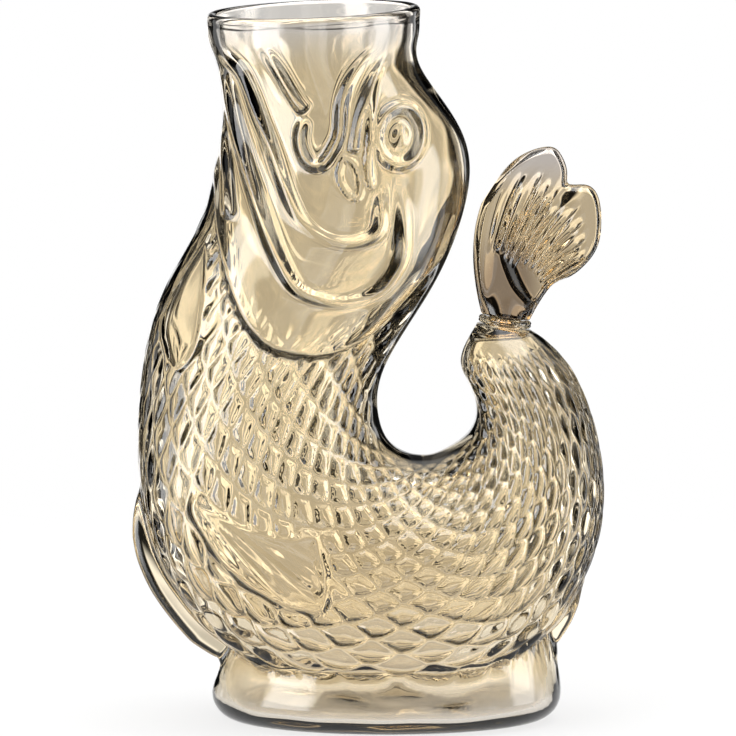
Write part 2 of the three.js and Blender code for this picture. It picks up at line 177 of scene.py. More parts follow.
# The bold row of scales above the foot
BOLD_ROW = 1.2
BOLD_ROW_Z = 38.0
BOLD_ROW_WIDTH = 6.0
BOLD_ROW_FROM = (0.4, 0.5)

# The side that the photograph doesn't show has a shallower relief, with a change from one y to another
FAR_SIDE = (-10, 10)
FAR_SHALLOW = 0.45

# Where the photograph's pixels lie in the fish's middle plane, and how a near spot drops in the picture.
# A lift, below, is the share of the side's depth at which a line of the photograph lies.
PX_SCALE = 0.352
PX_MIDDLE = 386.5
PZ_SCALE = 0.3553
PZ_FOOT = 717.0
NEAR_DROP = 0.137
SIDE_DEPTH = 40.0

# How far from a line distances are worked out, and the distance that stands for farther
RIDGE_REACH = 14.0
FIN_REACH = 30.0
WIDE_REACH = 60.0
FAR_AWAY = 1e3

# Points of a smooth curve for each stretch between the points given
LINE_POINTS = 8
LOOP_POINTS = 5

# Gill cover in the photograph: the body sinks by the step past its line, over a wider edge on the far side,
# and the cover flares out. Lengths are along the fish's middle from the mouth.
GILL_LINE = [
    (190, 172), (211, 186), (219, 227), (226, 266), (242, 313), (261, 338), (280, 350),
    (305, 355), (328, 355), (356, 346), (381, 329), (412, 296), (439, 270), (475, 240),
]
GILL_LIFT = 0.95
GILL_STEP = 3.1
GILL_BEFORE = 1.6
GILL_PAST = 3.0
GILL_BEFORE_MORE = 3
GILL_PAST_MORE = 5
GILL_OFF_BACK = (0.83, 0.97)
GILL_FLARE = 1.9
FLARE_WIDTH = 12.0
FLARE_LENGTH = (55, 75)
HEAD_LENGTH = (55, 150)
SINK_REACH = (8, 45)
SINK_LENGTH = (115, 149)

# Lines of the head in the photograph
CHEEK_LINE = [
    (222, 66), (232, 100), (244, 150), (262, 208), (275, 245), (290, 277), (305, 293), (325, 300),
    (345, 302), (370, 296), (385, 285), (396, 268), (401, 250), (402, 225), (400, 200), (397, 182),
]
JAW_LINE = [
    (214, 62), (236, 74), (249, 88), (259, 112), (266, 131), (276, 157), (284, 182), (297, 214),
    (309, 229), (328, 241), (353, 245), (374, 237), (380, 222), (381, 199), (386, 181),
]
LIP_LEFT = [(262, 53), (272, 64), (285, 83), (298, 105), (309, 118)]
LIP_POCKET = [
    (310, 122), (303, 138), (304, 155), (312, 168), (324, 168),
    (335, 153), (341, 134), (343, 107), (358, 76), (381, 52),
]
FOLD_UPPER = [(391, 60), (374, 86), (362, 115), (356, 138), (354, 160)]
FOLD_LOWER = [(376, 88), (370, 115), (369, 150), (368, 172), (371, 195)]
CHIN_TWO = [(226, 118), (228.8, 153), (231.6, 185), (235.3, 220)]

# Ridges along those lines: lift, width, height, and how they fade and change along their run
RIDGES = [
    (CHEEK_LINE, 0.9, 2.4, 2.2, {"end": 0.25, "low": 0.5, "high": 0.5}),
    (JAW_LINE, 0.9, 2.2, 2.2, {"end": 0.25, "low": 0.5, "high": 0.5}),
    (LIP_LEFT, 0.8, 2.0, 2.6, {"start": 0.6}),
    (LIP_POCKET, 0.85, 1.8, 2.4, {"end": 0.3}),
    (FOLD_UPPER, 0.8, 1.6, 1.9, {"start": 0.4}),
    (FOLD_LOWER, 0.85, 1.5, 1.5, {"start": 0.3}),
    (CHIN_TWO, 0.3, 1.9, 2.0, {"start": 0.5}),
]
RIDGE_LOW_AT = 0.62
RIDGE_LOW_WIDTH = 0.2
RIDGE_HIGH_AT = 0.22
RIDGE_HIGH_WIDTH = 0.12

# Drop beside the lips, and the eye, in the photograph
TEARDROP = [(345, 162), (340, 178), (346, 194), (357, 202), (361, 189), (356, 170)]
DROP_LIFT = 0.9
DROP_HEIGHT = 0.9
DROP_WIDTH = 1.1
EYE = (398.5, 141.6)
EYE_LIFT = 0.8
EYE_HALF_WIDTH = 7.6
EYE_HALF_HEIGHT = 9.6
EYE_RING_HEIGHT = 1.6
EYE_RING_WIDTH = 0.24
PUPIL_HEIGHT = 1.3
PUPIL_WIDTH = 0.42

# Side fin in the photograph, with the point that starts its lower edge and the hub of its rays
SIDE_FIN = [
    (203, 492), (215, 504), (239, 518), (262, 526), (288, 532), (312, 530), (320, 534), (325, 553),
    (330, 585), (325, 604), (314, 607), (288, 601), (258, 585), (231, 563), (209, 534), (196, 504),
]
FIN_LOWER_START = 9
FIN_HUB = (188, 486)
FIN_LIFT = 1.0
FIN_EDGE = (-2.0, 1.4)
FIN_HEIGHT = 1.1
FIN_LIP_HEIGHT = 1.3
FIN_LIP_WIDTH = 6.0
FIN_BORDER_HEIGHT = 0.3
FIN_BORDER_INSET = 1.2
FIN_BORDER_WIDTH = 1.2
FIN_RAYS = 40
FIN_RAY_HEIGHT = 0.16
FIN_RAY_INSET = (0.5, 4)

# Throat fin in the photograph
THROAT_FIN = [
    (205, 238), (185, 270), (170, 300), (162, 330), (168, 355),
    (181, 369), (199, 347), (206, 302), (208, 262),
]
THROAT_LIFT = 0.6
THROAT_EDGE = (-1.2, 1.0)
THROAT_HEIGHT = 0.9
THROAT_BORDER_HEIGHT = 0.4
THROAT_BORDER_INSET = 0.8
THROAT_BORDER_WIDTH = 1.1

# Fins in the middle plane under the belly: heights, and how far they stand out there
FRONT_KEEL = [
    (18, 0), (22, 3), (27, 7.5), (33, 9), (40, 8.7), (50, 8.4),
    (60, 7.6), (67, 6.5), (73, 4.6), (78, 2.6), (83, 0),
]
FRONT_KEEL_X = -30
REAR_KEEL = [(21, 0), (25, 3), (29, 5.8), (33, 5.8), (38, 5), (43, 3.5), (47, 1.5), (51, 0)]
REAR_KEEL_X = 40
KEEL_HALF_DEPTH = 4.6
KEEL_SQUARE = 4
KEEL_FROM = (0.35, 0.40)
KEEL_BARE = 0.5
KEEL_INSIDE = 0.5

# Tail fin in the photograph: its edge from the left border over both lobes, the bends of its outer rays, and
# the edge of the thicker palm
TAIL_EDGE = [
    (480, 205), (492, 186.6), (514, 161.4), (544.6, 149.3), (559, 157), (565, 174), (567, 186),
    (584.5, 187), (596, 199), (599, 220), (597, 242), (588, 260), (572, 275), (558, 281),
]
TAIL_BENDS = [(463.5, 251), (547, 283.5)]
PALM_EDGE = [(531, 297), (520, 277), (511.5, 255), (505, 235), (503, 215)]
TAIL_LIFT = 0.0

# Half depths of the tail fin. Places across it are shares from its left border, and along it from the collar.
STEM_HALF_WIDTH = 8.6
STEM_HALF_DEPTH = 6.5
STEM_TO_FIN = (0.0, 0.3)
TAIL_HALF_DEPTH = 5.6
TAIL_ROUND = 2.4
LEFT_ROLL = 0.8
LEFT_ROLL_AT = 0.1
NOTCH_DEPTH = 1.2
NOTCH_AT = 0.45
NOTCH_ALONG = (0.4, 0.9)
ROLL_WIDTH = 0.08
PALM_HEIGHT = 1.5
PALM_FLANK = (-5.5, 1.0)
PALM_ENDS = (0.45, 0.75)
TAIL_RIBS = 13
RIB_HEIGHT = 2.4
RIB_POWER = 0.8
RIB_BASE = 0.6
RIBS_ALONG = ((0.42, 0.6), (0.76, 0.93))
RIBS_ACROSS = ((0.12, 0.18), (0.9, 0.97))
TAIL_ROWS = 120
TAIL_COLUMNS = 150

# Collar and the tail's spigot in it
SPIGOT_RADIUS = 5.6
COLLAR_RADIUS = 9.4
COLLAR_HEIGHT = 3.2
COLLAR_EDGE = 0.15
COLLAR_ROUND = 1.3
COLLAR_ROUND_POWER = 0.5
COLLAR_BEADS = 2
BEAD_SWELL = 0.45
BEAD_POWER = 0.7
COLLAR_STEPS = 40
COLLAR_COLUMNS = 96

# Colours of the glass, heights over which a tint turns clear, and painted shade: its colour, middle and reach
AMBER = (0.915, 0.83, 0.665)
SMOKE = (0.95, 0.925, 0.90)
TAIL_AMBER = (0.72, 0.60, 0.41)
LILAC = (0.74, 0.70, 0.70)
STEM_SHADE_BROWN = (0.32, 0.24, 0.165)
BELLY_SHADE_AMBER = (0.86, 0.76, 0.58)
DEPTH_TINT = (0.72, 0.55, 0.2)
DEPTH_DENSITY = 22.0
BODY_CLEAR = ((0.004, 0.016), (0.228, 0.244))
TAIL_CLEAR = ((0.10, 0.12), (0.183, 0.20))
# Painted shade: darker amber over the lower belly above the foot, where the glass lies in shade
BELLY_PAINTED_SHADE = (BELLY_SHADE_AMBER, (-0.01, 0.0, 0.045), (0.075, 0.08, 0.055))
# Painted shade: dark brown in the tail's stem, in the shaded valley between the lobes
STEM_PAINTED_SHADE = (STEM_SHADE_BROWN, (0.0415, 0.0, 0.152), (0.016, 0.04, 0.026))
PAINTED_SHADE_CORE = 0.6

# Unevenness of the glass: its cloudy tint, its soft waves, and the spots where it is less polished
GLASS_IOR = 1.5
NOISE_DETAIL = 2.0
CLOUD_SCALE = 26.0
CLOUD_RANGE = (0.3, 0.7)
CLOUD_DRIFT = 0.12
SOFT_WAVE_STRENGTH = 0.12
SOFT_WAVE_HEIGHT = 0.002
SPOT_SCALE = 140.0
SPOT_RANGE = (0.35, 0.75)
SPOT_ROUGHNESS = 0.03

# Floor, which turns clear between two distances, sooner where the glass shows it
FLOOR_RADIUS = 0.5
FLOOR_CORNERS = 96
FLOOR_DROP = 0.0004
FLOOR_FADE = (0.16, FLOOR_RADIUS)
FLOOR_FADE_IN_GLASS = (0.09, 0.2)
FLOOR_COLOUR = 0.14
FLOOR_GLOW = 0.77

# World as the glass sees it: brightness of the panels that stand all round, of the ceiling and of the light
# at the top. Heights are the z of a direction, from -1 straight down to 1 straight up.
LIGHT_PANELS = 8
PANEL_SHIFT = 0.06
PANEL_UNEVEN = 0.25
PANEL_RISE = (-0.1, 0.3)
PANEL_MIDDLE = (0.45, 0.8)
PANEL_EDGE = 2.1
GAP_LEVEL = 0.02
LOW_LEVEL = 1.25
BACK_LEVEL = 0.7
HIGH_LEVEL = 0.04
LOW_HEIGHT = (-0.375, -0.242)
HIGH_HEIGHT = (0.04, 0.14)
CEILING_LEVEL = 0.6
CEILING_HEIGHT = (0.38, 0.55)
TOP_LEVEL = 5.0
TOP_HEIGHT = (0.80, 0.90)

# Windows of the world: degrees where each comes and goes, and its brightness; and the heights of all
WINDOWS = ((-146.0, -140.0, -114.0, -108.0, 7.2), (84.0, 90.0, 106.0, 112.0, 5.0))
WINDOW_RISE = (-0.5, -0.3, 0.55, 0.7)

# Camera
CAMERA_AIM = (-0.0065, 0.0, 0.124)
CAMERA_FAR = 2.5
CAMERA_RISE = math.radians(7.8)
CAMERA_LENS = 350
CAMERA_SENSOR = 36
CAMERA_CLIP_END = 20


def smooth(value, low, high):
    """A smooth step from 0 at low to 1 at high."""
    t = np.clip((value - low) / (high - low), 0, 1)
    return t * t * (3 - 2 * t)


def between(value, comes, goes):
    """1 between two smooth steps, 0 outside them."""
    return smooth(value, *comes) * (1 - smooth(value, *goes))


def bump(value, middle, width):
    """A bell of height 1 round the middle."""
    return np.exp(-(((value - middle) / width) ** 2))


def quarter_round(share):
    """The height of a quarter circle, from 0 at share 0 to 1 at share 1 and past it."""
    return np.sqrt(1 - (1 - np.clip(share, 0, 1)) ** 2)


def smooth_max(a, b, width):
    """The greater of two lengths, with the crease between them rounded over the width."""
    part = np.clip(0.5 + 0.5 * (a - b) / width, 0, 1)
    return b + (a - b) * part + width * part * (1 - part)


def spline(values, shares):
    """A natural cubic spline through evenly spaced values, read at shares from 0 to 1."""
    values = np.asarray(values, float)
    n = len(values)
    matrix = np.eye(n)
    right = np.zeros(n)
    for i in range(1, n - 1):
        matrix[i, i - 1:i + 2] = (1, 4, 1)
        right[i] = 6 * (values[i - 1] - 2 * values[i] + values[i + 1])
    bend = np.linalg.solve(matrix, right)
    at = np.clip(np.asarray(shares) * (n - 1), 0, n - 1)
    i = np.minimum(at.astype(int), n - 2)
    t = at - i
    s = 1 - t
    return s * values[i] + t * values[i + 1] + ((s**3 - s) * bend[i] + (t**3 - t) * bend[i + 1]) / 6


def walked(points):
    """Length walked along lines of points, at each of their points."""
    steps = np.cumsum(np.linalg.norm(np.diff(points, axis=0), axis=-1), axis=0)
    return np.concatenate([np.zeros_like(steps[:1]), steps])


def round_rib(x, z, radius, lean, belly_side):
    """A round rib that leans by degrees. Its belly end points to -x if belly_side is -1, and to +x if 1."""
    dx = belly_side * radius * math.cos(math.radians(lean))
    dz = belly_side * radius * math.sin(math.radians(lean))
    return (x + dx, z + dz, x - dx, z - dz, radius)


rim_rib = round_rib(RIM_X, RIM_Z, RIM_RADIUS, RIM_LEAN, -1)
root_rib = round_rib(ROOT_X, ROOT_Z, ROOT_RADIUS, -ROOT_LEAN, 1)
ribs = [rim_rib, *RIBS, root_rib]


def rails(shares):
    """Middle point, half rib towards the belly and half depth at shares of the way from mouth to tail."""
    belly_x, belly_z, back_x, back_z, depth = (spline(values, shares) for values in zip(*ribs))
    flat = np.zeros_like(depth)
    middle = np.stack([(belly_x + back_x) / 2, flat, (belly_z + back_z) / 2], -1)
    half = np.stack([(belly_x - back_x) / 2, flat, (belly_z - back_z) / 2], -1)
    return middle, half, depth


# Shares, middle lengths and row lengths along the fish. A row length adds the middle and the belly length.
fine_share = np.linspace(0, 1, FINE_STEPS)
fine_middle, fine_half, _ = rails(fine_share)
fine_length = walked(fine_middle)
fine_row = fine_length + walked(fine_middle + fine_half)
body_length = fine_length[-1]


def even_shares(end, count):
    """Shares of rows that are evenly spaced by row length, up to the given end."""
    return np.interp(np.linspace(0, end, count), fine_row, fine_share)


def foot_inset(z, inset, bottom, slope):
    """How far the foot's side lies inside its greatest oval at height z, under a shoulder of that slope."""
    below = np.clip((FOOT_WIDEST_Z - z) / (FOOT_WIDEST_Z - bottom), 0, 1)
    lower = (FOOT_WIDEST_Z - bottom) * (1 - np.sqrt(1 - below**2))
    above = slope * np.clip(z - FOOT_WIDEST_Z, 0, None)
    return inset + lower + np.hypot(above, SHOULDER_ROUND) - SHOULDER_ROUND


def in_foot(points, inset, bottom):
    """Whether points lie in the foot, moved in by inset and standing on bottom."""
    x, y, z = points[..., 0], points[..., 1], points[..., 2]
    rear_share = np.clip(0.5 + 0.5 * x / FOOT_HALF_LENGTH, 0, 1)
    end_slope = FRONT_SLOPE + (REAR_SLOPE - FRONT_SLOPE) * rear_share
    half_length = FOOT_HALF_LENGTH - foot_inset(z, inset, bottom, end_slope)
    half_depth = FOOT_HALF_DEPTH - foot_inset(z, inset, bottom, SIDE_SLOPE)
    return ((x / half_length) ** 2 + (y / half_depth) ** 2 < 1) & (z > bottom) & (z < FOOT_TOP_Z)


def foot_reach(middle, ray, inset, bottom):
    """How far along each ray, in ray lengths, the foot's outside lies, or 0 where a ray misses the foot."""
    last = np.zeros(ray.shape[:-1])
    for length in REACH_TRIES:
        inside = in_foot(middle + ray * length, inset, bottom)
        last = np.where(inside, length, last)
    low, high = last, last + REACH_TRIES[1] - REACH_TRIES[0]
    for _ in range(REACH_HALVINGS):
        half = (low + high) / 2
        inside = in_foot(middle + ray * half[..., None], inset, bottom)
        low = np.where(inside, half, low)
        high = np.where(inside, high, half)
    return np.where(last > 0, low, 0)


def soften(field, times):
    """A field on the grid, averaged with its neighbours again and again."""
    for _ in range(times):
        field = (field + np.roll(field, 1, axis=1) + np.roll(field, -1, axis=1)) / 3
        padded = np.concatenate([field[:1], field, field[-1:]])
        field = (padded[:-2] + padded[1:-1] + padded[2:]) / 3
    return field


def body_grid(shares, inset, bottom, crease):
    """The smooth body with its foot as rows of points, moved in by inset and standing on bottom; the angles
    of its columns; and 1 where the foot is, rounded over the crease."""
    middle, half, depth = rails(shares)
    width = np.linalg.norm(half, axis=1, keepdims=True)
    angle = np.linspace(0, 2 * math.pi, COLUMNS, endpoint=False)
    angle = angle - COLUMN_CROWD * np.sin(angle)
    across = half / width * (width - inset)
    ray = across[:, None] * np.cos(angle)[None, :, None]
    ray = ray + np.array([0, 1, 0]) * (depth[:, None] - inset)[..., None] * np.sin(angle)[None, :, None]
    full = OVAL_POWER + BELLY_FULL * between(shares, FULL_COMES, FULL_GOES)
    full = np.where(np.cos(angle) > 0, full[:, None], OVAL_POWER)
    bulge = (np.abs(np.cos(angle)) ** full + np.abs(np.sin(angle)) ** full) ** (-1 / full)
    ray = ray * bulge[..., None]
    start = np.broadcast_to(middle[:, None], ray.shape)
    size = np.linalg.norm(ray, axis=-1)
    reach = foot_reach(start, ray, inset, bottom)
    long = smooth_max(size, reach * size, crease)
    on_foot = smooth((reach - 1) * size, -crease, crease)
    long = long + (soften(long, FOOT_SOFTEN) - long) * on_foot
    return start + ray * (long / size)[..., None], angle, on_foot


def normals_of(grid):
    """Outward unit normals of rows of points that close on themselves across."""
    along = np.gradient(grid, axis=0)
    across = np.roll(grid, -1, axis=1) - np.roll(grid, 1, axis=1)
    normal = np.cross(along, across)
    normal = normal / np.linalg.norm(normal, axis=-1, keepdims=True)
    outward = np.sum(normal * (grid - grid.mean(axis=1, keepdims=True)), axis=-1)
    return normal * np.sign(outward.mean())


def rows_between(field, at):
    """Rows of a field read at places between them."""
    low = np.minimum(at.astype(int), len(field) - 2)
    part = (at - low)[:, None]
    return field[low] * (1 - part) + field[low + 1] * part


def seen(pixels, lift):
    """Pixels of the photograph as x and z on the fish's side; lift is their share of the side's depth."""
    pixels = np.asarray(pixels, float)
    x = (pixels[:, 0] - PX_MIDDLE) * PX_SCALE
    z = (PZ_FOOT - pixels[:, 1]) * PZ_SCALE + lift * NEAR_DROP * SIDE_DEPTH
    return np.stack([x, z], -1)


def curve_through(points, each=LINE_POINTS):
    """A smooth line through a few points, as many points."""
    points = np.asarray(points, float)
    shares = np.linspace(0, 1, (len(points) - 1) * each + 1)
    return np.stack([spline(points[:, 0], shares), spline(points[:, 1], shares)], -1)


def distance_to(line, x, z, reach):
    """Distance from each spot to a line, its side (positive on the right of its run), and the share along it.
    Spots farther than reach keep a large distance."""
    best = np.full(x.shape, FAR_AWAY)
    side = np.zeros(x.shape)
    along = np.zeros(x.shape)
    count = len(line) - 1
    near = (
        (x > line[:, 0].min() - reach) & (x < line[:, 0].max() + reach)
        & (z > line[:, 1].min() - reach) & (z < line[:, 1].max() + reach)
    )
    spot_x, spot_z = x[near], z[near]
    near_best, near_side, near_along = best[near], side[near], along[near]
    for i in range(count):
        ax, az = line[i]
        dx, dz = line[i + 1] - line[i]
        t = np.clip(((spot_x - ax) * dx + (spot_z - az) * dz) / (dx * dx + dz * dz), 0, 1)
        off_x = spot_x - ax - t * dx
        off_z = spot_z - az - t * dz
        distance = np.hypot(off_x, off_z)
        closer = distance < near_best
        near_best = np.where(closer, distance, near_best)
        near_side = np.where(closer, np.sign(off_x * dz - off_z * dx), near_side)
        near_along = np.where(closer, (i + t) / count, near_along)
    best[near], side[near], along[near] = near_best, near_side, near_along
    return best, side, along


def inside_loop(pixels, lift, x, z):
    """Distance in from a smooth closed loop through pixels of the photograph, negative outside."""
    loop = curve_through(seen(pixels + pixels[:1], lift), LOOP_POINTS)
    best, _, _ = distance_to(loop, x, z, FIN_REACH)
    inside = np.zeros(x.shape, bool)
    for (ax, az), (bx, bz) in zip(loop[:-1], loop[1:]):
        if az == bz:
            continue
        crosses = (az > z) != (bz > z)
        inside ^= crosses & (x < (bx - ax) * (z - az) / (bz - az) + ax)
    return np.where(inside, best, -best)


def ridge(x, z, line, width, height, start=0.1, end=0.1, low=0.0, high=0.0):
    """A rounded ridge along a line, fading over shares of it at its start and end, lower past its middle and
    higher near its start."""
    away, _, along = distance_to(line, x, z, RIDGE_REACH)
    rise = smooth(along, 0, start) * smooth(1 - along, 0, end)
    rise = rise * (1 - low * bump(along, RIDGE_LOW_AT, RIDGE_LOW_WIDTH))
    rise = rise * (1 + high * bump(along, RIDGE_HIGH_AT, RIDGE_HIGH_WIDTH))
    return height * rise * bump(away, 0, width)


def scale_rows(shares, angle):
    """The row of scales at each spot, partly even along each line that runs the fish's length, and partly
    straight round the fish."""
    middle, half, depth = rails(shares)
    spots = middle[:, None] + half[:, None] * np.cos(angle)[..., None]
    spots[..., 1] += depth[:, None] * np.sin(angle)
    lengths = walked(spots)
    first = lengths[np.searchsorted(shares, SCALES_START)]
    rows = SCALE_ROWS * (lengths - first) / (lengths[-1] - first)
    return rows + ROW_STRAIGHT * (rows.mean(axis=1, keepdims=True) - rows)


def nearest_scales(row_at, angle):
    """Distances from each spot to the middles of the nearest and the second nearest scale. In each of five
    rows the two scales beside the spot are tried, and every other row is moved round by half a scale."""
    uneven = np.random.default_rng(STRETCH_SEED).uniform(*STRETCH_UNEVEN, (SCALE_ROWS, SCALES_AROUND))
    nearest = np.full(row_at.shape, np.inf)
    second = np.full(row_at.shape, np.inf)
    base = np.floor(row_at).astype(int)
    for ahead, beside in itertools.product((-2, -1, 0, 1, 2), (0, 1)):
        row = base + ahead
        turn = angle * SCALES_AROUND / (2 * math.pi) - 0.5 * (row % 2)
        number = np.round(turn)
        number = (number + beside * np.where(turn < number, -1, 1)).astype(int)
        across = 2 * (turn - number)
        along = row_at - row
        along = np.where(along > 0, along / SCALE_TO_TAIL, along / SCALE_TO_HEAD)
        out = np.hypot(STRETCH_ACROSS * across, STRETCH_ALONG * along)
        out = out * uneven[row % SCALE_ROWS, number % SCALES_AROUND]
        second = np.minimum(second, np.maximum(nearest, out))
        nearest = np.minimum(nearest, out)
    return nearest, second


def scales(row_at, angle):
    """Relief of the scales in staggered rows: flat plates with grooves between them on the chest, and round
    pebbles farther on."""
    nearest, second = nearest_scales(row_at, angle)
    to_belly = np.cos(angle)
    row_share = row_at / SCALE_ROWS
    pebbled = smooth(to_belly, *BELLY_SIDE) * smooth(row_share, *BELLY_PEBBLES)
    pebbled = np.maximum(pebbled, smooth(row_share, *TAIL_PEBBLES))
    plates = PLATE_HEIGHT * (1 - bump(second - nearest, 0, GROOVE_WIDTH))
    pebbles = PEBBLE_HEIGHT * (1 - np.minimum(nearest, PEBBLE_REACH) ** PEBBLE_POWER)
    throat = (1 - smooth(row_share, *THROAT_ROWS)) * smooth(to_belly, *THROAT_LINE)
    calm = (1 - smooth(-to_belly, *BACK_LINE)) * (1 - LINE_CALM * smooth(to_belly, *BELLY_LINE))
    calm = calm * (1 - LINE_CALM * throat)
    return (plates + (pebbles - plates) * pebbled) * calm


def gill_relief(x, z, length, angle, far_side):
    """Relief of the gill cover's edge, and the head: 1 before the edge and 0 past it."""
    away, side, _ = distance_to(curve_through(seen(GILL_LINE, GILL_LIFT)), x, z, WIDE_REACH)
    past = np.where(side > 0, away, -away)
    before_edge = -GILL_BEFORE - GILL_BEFORE_MORE * far_side
    past_edge = GILL_PAST + GILL_PAST_MORE * far_side
    head = 1 - smooth(past, before_edge, past_edge)
    all_head, all_body = HEAD_LENGTH
    head = np.where(length < all_head, 1, np.where(length > all_body, 0, head))
    sink = (1 - head) * (1 - smooth(away, *SINK_REACH)) * (1 - smooth(length, *SINK_LENGTH))
    flare = head * bump(past, 0, FLARE_WIDTH) * smooth(length, *FLARE_LENGTH)
    off_back = 1 - smooth(-np.cos(angle), *GILL_OFF_BACK)
    return (GILL_FLARE * flare - GILL_STEP * sink) * off_back, head


def fin_relief(x, z):
    """Relief of the side fin and the throat fin, and 1 where both leave room for scales."""
    fin = inside_loop(SIDE_FIN, FIN_LIFT, x, z)
    fin_mask = smooth(fin, *FIN_EDGE)
    lower_edge = curve_through(seen(SIDE_FIN[FIN_LOWER_START:], FIN_LIFT))
    from_lower, _, _ = distance_to(lower_edge, x, z, FIN_REACH)
    relief = fin_mask * (FIN_HEIGHT + FIN_LIP_HEIGHT * bump(from_lower, 0, FIN_LIP_WIDTH))
    relief += FIN_BORDER_HEIGHT * bump(fin, FIN_BORDER_INSET, FIN_BORDER_WIDTH)
    hub_x, hub_z = seen([FIN_HUB], FIN_LIFT)[0]
    ray_turn = np.arctan2(z - hub_z, x - hub_x)
    relief += FIN_RAY_HEIGHT * smooth(fin, *FIN_RAY_INSET) * np.cos(ray_turn * FIN_RAYS)

    throat = inside_loop(THROAT_FIN, THROAT_LIFT, x, z)
    throat_mask = smooth(throat, *THROAT_EDGE)
    relief += THROAT_HEIGHT * throat_mask
    relief += THROAT_BORDER_HEIGHT * bump(throat, THROAT_BORDER_INSET, THROAT_BORDER_WIDTH)
    return relief, (1 - fin_mask) * (1 - throat_mask)


def face_relief(x, z):
    """Relief of the head's ridges, the drop beside the lips and the eye."""
    relief = np.zeros(x.shape)
    for line, lift, width, height, changes in RIDGES:
        relief += ridge(x, z, curve_through(seen(line, lift)), width, height, **changes)
    relief += DROP_HEIGHT * bump(inside_loop(TEARDROP, DROP_LIFT, x, z), 0, DROP_WIDTH)
    eye_x, eye_z = seen([EYE], EYE_LIFT)[0]
    out = np.hypot((x - eye_x) / EYE_HALF_WIDTH, (z - eye_z) / EYE_HALF_HEIGHT)
    relief += EYE_RING_HEIGHT * bump(out, 1, EYE_RING_WIDTH)
    relief += PUPIL_HEIGHT * bump(out, 0, PUPIL_WIDTH)
    return relief


def relief_of(grid, length, shares, angle, on_foot):
    """How far the glass stands out from the smooth body at each point of its outside."""
    x, y, z = grid[..., 0], grid[..., 1], grid[..., 2]
    far_side = smooth(y, *FAR_SIDE)
    gill, head = gill_relief(x, z, length, angle, far_side)
    fins, plain = fin_relief(x, z)
    plain = plain * (1 - head) * smooth(body_length - length, *SCALES_END) * (1 - on_foot)
    bold = 1 + BOLD_ROW * bump(z, BOLD_ROW_Z, BOLD_ROW_WIDTH) * smooth(shares, *BOLD_ROW_FROM)[:, None]
    scaled = scales(scale_rows(shares, angle), angle) * plain * bold
    relief = (gill + scaled + fins + face_relief(x, z)) * (1 - FAR_SHALLOW * far_side)
    return relief + RIM_BEAD_HEIGHT * bump(length, 0, RIM_BEAD_WIDTH)


def keels(grid, shares):
    """How far the two fins in the middle plane stand out under the belly."""
    x, y, z = grid[..., 0], grid[..., 1], grid[..., 2]
    front = np.interp(z, *zip(*FRONT_KEEL)) * (x < FRONT_KEEL_X)
    rear = np.interp(z, *zip(*REAR_KEEL)) * (x > REAR_KEEL_X)
    belly = smooth(shares, *KEEL_FROM)
    profile = np.clip(1 - (np.abs(y) / KEEL_HALF_DEPTH) ** KEEL_SQUARE, 0, 1) ** (1 / KEEL_SQUARE)
    return soften((front + rear) * profile * belly, 1)


def add_mesh(name, points, faces, material):
    """A smooth piece from points in millimetres, with close points welded and its faces turned outwards."""
    mesh = bpy.data.meshes.new(name)
    mesh.from_pydata((np.asarray(points) * MM).tolist(), [], faces)
    shape = bmesh.new()
    shape.from_mesh(mesh)
    bmesh.ops.remove_doubles(shape, verts=shape.verts, dist=WELD * MM)
    bmesh.ops.recalc_face_normals(shape, faces=shape.faces)
    shape.to_mesh(mesh)
    shape.free()
    mesh.shade_smooth()
    mesh.materials.append(material)
    piece = bpy.data.objects.new(name, mesh)
    bpy.context.scene.collection.objects.link(piece)
    return piece


def sheet_faces(rows, columns):
    """Quads over rows of points that close on themselves across."""
    i, j = np.meshgrid(np.arange(rows - 1), np.arange(columns), indexing="ij")
    a = i * columns + j
    b = i * columns + (j + 1) % columns
    return np.stack([a, b, b + columns, a + columns], -1).reshape(-1, 4).tolist()


def uneven_blow(points):
    """Slow waves of the wall's inside, which no mould touched."""
    x, y, z = points[..., 0], points[..., 1], points[..., 2]
    long_waves = np.sin(x / WAVE_X + SWAY_BY_Z * np.sin(z / SWAY_LENGTH_Z))
    high_waves = np.sin(z / WAVE_Z + y / WAVE_Y + SWAY_BY_X * np.sin(x / SWAY_LENGTH_X))
    return WAVE_HEIGHT * long_waves * high_waves


def outer_face(shares):
    """Rows of points on the wall's outside, and how far its relief and its keels stand out."""
    grid, angle, on_foot = body_grid(shares, 0.0, 0.0, OUTER_CREASE)
    length = np.interp(shares, fine_share, fine_length)[:, None]
    length = np.broadcast_to(length, grid.shape[:2])
    relief = relief_of(grid, length, shares, angle[None, :], on_foot)
    keel = keels(grid, shares[:, None])
    relief = np.where(keel > KEEL_BARE, relief * np.exp(-keel), relief)
    _, half, _ = rails(shares)
    belly_way = half / np.linalg.norm(half, axis=1, keepdims=True)
    outer = grid + normals_of(grid) * relief[..., None] + belly_way[:, None] * keel[..., None]
    outer[..., 2] = np.maximum(outer[..., 2], 0)
    return outer, relief, keel


def inner_face(shares, swell, outer_shares):
    """Rows of points on the wall's inside, which follows the outside's swell softly and ends in a dome."""
    grid, _, on_foot = body_grid(shares, WALL, FLOOR, INNER_CREASE)
    outer_row = np.interp(shares, outer_shares, np.arange(len(outer_shares)))
    gentle = rows_between(soften(swell, INNER_SOFTEN), outer_row)
    wave = uneven_blow(grid) * (WAVE_ON_BODY + WAVE_MORE_ON_FOOT * on_foot)
    below_lip = smooth(shares, 0, INNER_LIP)[:, None]
    inner = grid + normals_of(grid) * ((INNER_FOLLOWS * gentle + wave) * below_lip)[..., None]
    closing = quarter_round((shares[-1] - shares) / INNER_DOME)
    core = inner.mean(axis=1, keepdims=True)
    return core + (inner - core) * np.maximum(closing, INNER_TIP)[:, None, None]


